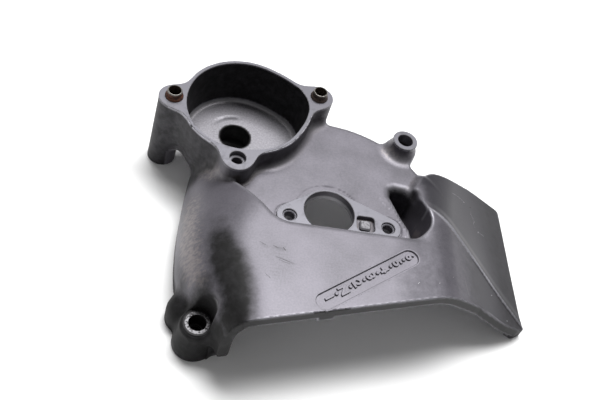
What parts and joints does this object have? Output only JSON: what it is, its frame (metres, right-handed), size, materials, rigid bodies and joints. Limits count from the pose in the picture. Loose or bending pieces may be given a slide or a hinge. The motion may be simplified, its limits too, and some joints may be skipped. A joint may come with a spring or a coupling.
{
  "type": "motorcycle sprocket cover",
  "caption": "Cast engine cover over a chain sprocket, with a round cup on one corner, a bored pad for a clutch actuator, a pocket and a sloping fin.",
  "frame": {"origin": "middle of the underside of the bounding box, on the mounting plane", "axes": "+Z from the mounting plane to the cover's outer side; +X along the cover's length, from the cup's left boss to the fin's tip; +Y towards the cup"},
  "size_m": [0.245, 0.195, 0.061],
  "materials": {
    "casting": "satin dark grey paint on a cast alloy, with bare worn edges",
    "rusty_dowel": "steel sleeve, rusty brown",
    "dark_dowel": "steel sleeve, dark with dirt"
  },
  "bodies": {
    "root": {"cover_casting": "casting", "dowel_sleeve_left": "rusty_dowel", "dowel_sleeve_right": "dark_dowel"}
  },
  "joints": []
}
